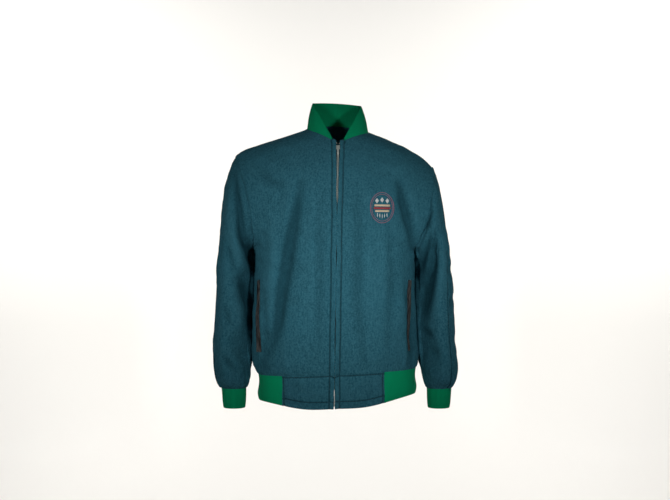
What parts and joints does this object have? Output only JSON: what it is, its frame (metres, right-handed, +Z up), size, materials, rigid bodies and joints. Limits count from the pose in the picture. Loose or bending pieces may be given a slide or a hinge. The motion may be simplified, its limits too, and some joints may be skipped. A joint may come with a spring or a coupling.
{
  "type": "bomber jacket",
  "caption": "Worn, hollow wool bomber jacket with rib collar, cuffs and hem, wool hem tabs, piped slit pockets and a front zip with a hinged pull.",
  "frame": {"origin": "midway between the two neck points of the shoulder seams, where the wearer's shoulders hold the jacket", "axes": "+Z up, the front faces -Y, the wearer's right side at -X"},
  "size_m": [0.6079, 0.2755, 0.764],
  "materials": {
    "wool": "milled dark teal wool cloth, soft nap",
    "rib": "bright green rib knit",
    "leather": "dark brown smooth piping",
    "tape": "dark woven zip tape",
    "zip_metal": "bright metal"
  },
  "bodies": {
    "jacket": {"front_right": "wool", "front_left": "wool", "back": "wool", "sleeve_front_right": "wool", "sleeve_back_right": "wool", "sleeve_front_left": "wool", "sleeve_back_left": "wool", "hem_tab_right": "wool", "hem_tab_left": "wool", "collar": "rib", "cuff_right": "rib", "cuff_left": "rib", "hem_rib": "rib", "pocket_lip_front_right": "leather", "pocket_lip_side_right": "leather", "pocket_lip_front_left": "leather", "pocket_lip_side_left": "leather", "zip_tape_right": "tape", "zip_tape_left": "tape", "zip_teeth_right": "zip_metal", "zip_teeth_left": "zip_metal", "zip_teeth_open_right": "zip_metal", "zip_teeth_open_left": "zip_metal", "zip_pin_right": "zip_metal", "zip_pin_left": "zip_metal", "zip_box": "zip_metal", "zip_slider": "zip_metal", "zip_bail": "zip_metal"},
    "pull": {"zip_pull": "zip_metal"}
  },
  "joints": [
    {"name": "pull_swing", "type": "hinge", "parent": "jacket", "child": "pull", "pos_m": [0.00481, -0.0966, -0.05135], "axis": [-1, 0, 0], "range_deg": [0, 150]}
  ]
}
